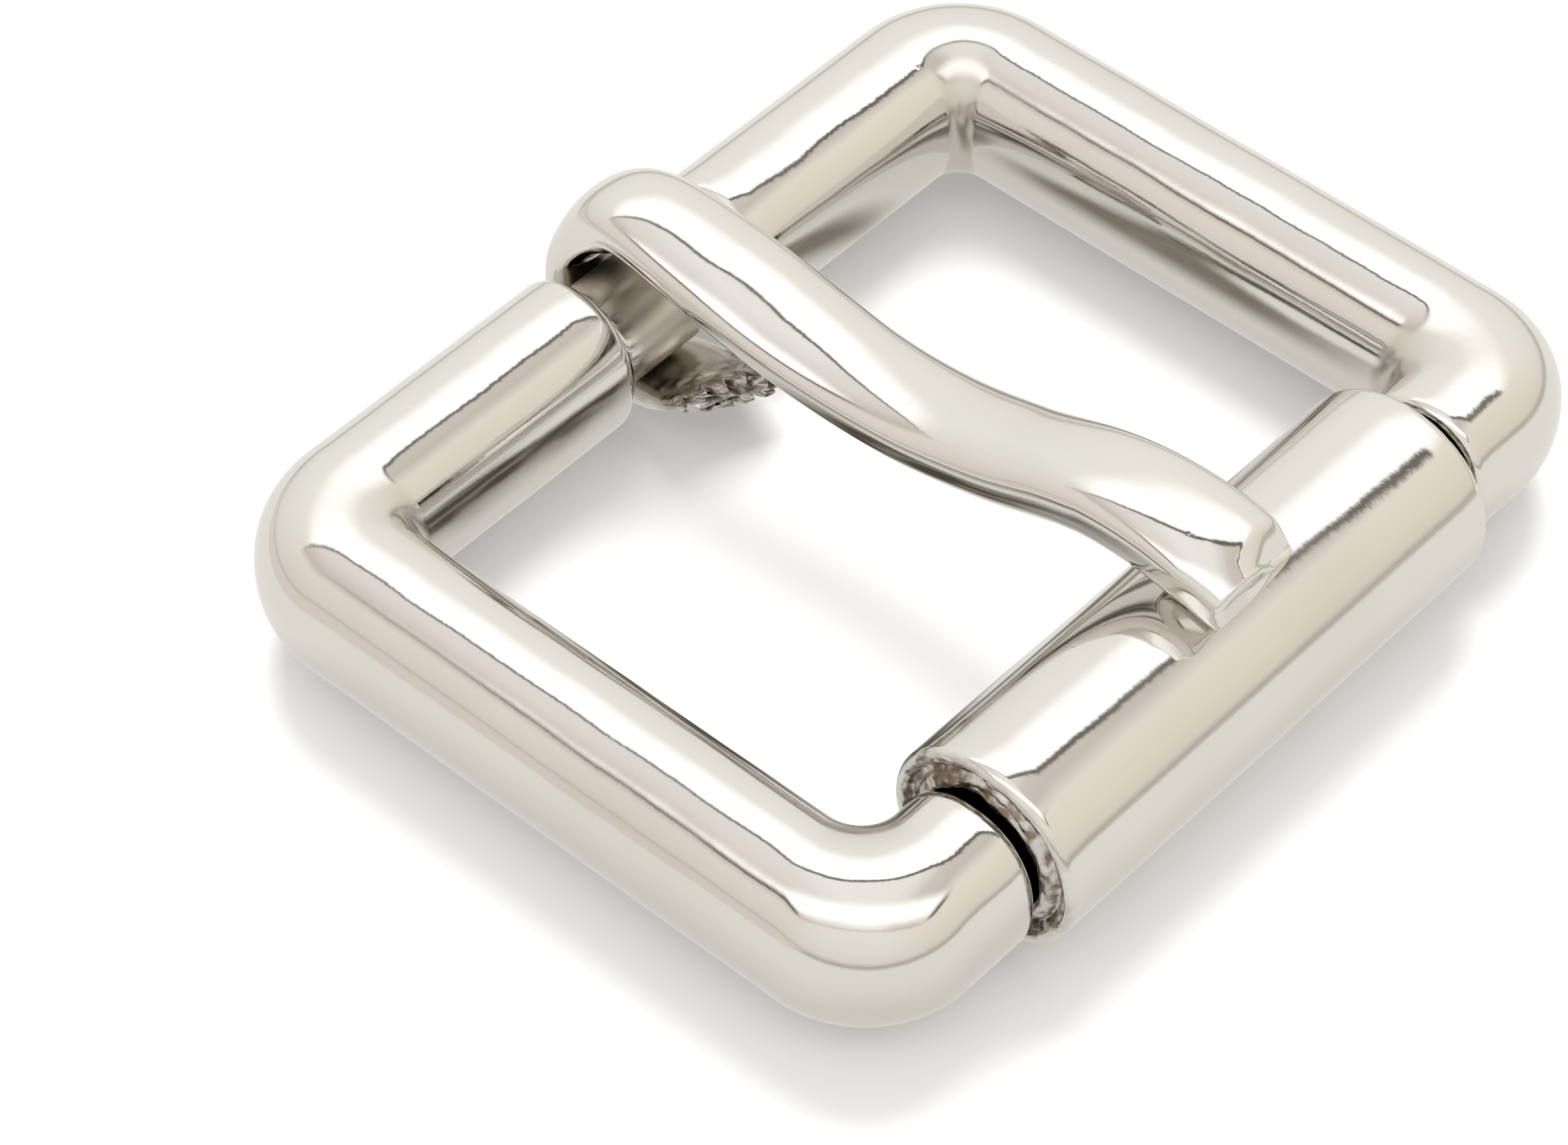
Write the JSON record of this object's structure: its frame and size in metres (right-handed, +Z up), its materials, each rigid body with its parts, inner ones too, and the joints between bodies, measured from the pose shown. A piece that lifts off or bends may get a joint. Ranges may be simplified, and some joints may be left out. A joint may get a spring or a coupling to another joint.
{
  "type": "roller buckle",
  "caption": "Rectangular strap buckle with a free-turning roller on its front bar and an S-curved prong looped round the waist of its rear bar.",
  "frame": {"origin": "centre of the outline seen from above, on the surface that the buckle lies on", "axes": "+X along the prong from the rear bar to the roller, +Y along the bars, +Z up"},
  "size_m": [0.0297, 0.0354, 0.0094],
  "materials": {
    "cast_nickel": "bright nickel plate over a polished casting",
    "rolled_nickel": "bright nickel plate over rolled sheet with rough cut ends",
    "prong_nickel": "bright nickel plate over a polished casting with a crimped tail"
  },
  "bodies": {
    "frame": {"frame": "cast_nickel"},
    "roller": {"roller": "rolled_nickel"},
    "prong": {"prong": "prong_nickel"}
  },
  "joints": [
    {"name": "roller_turn", "type": "hinge", "parent": "frame", "child": "roller", "pos_m": [0.01138, 0, 0.00345], "axis": [0, 1, 0], "continuous": true},
    {"name": "prong_swing", "type": "hinge", "parent": "frame", "child": "prong", "pos_m": [-0.01162, 0, 0.00305], "axis": [0, -1, 0], "range_deg": [0, 150]}
  ]
}
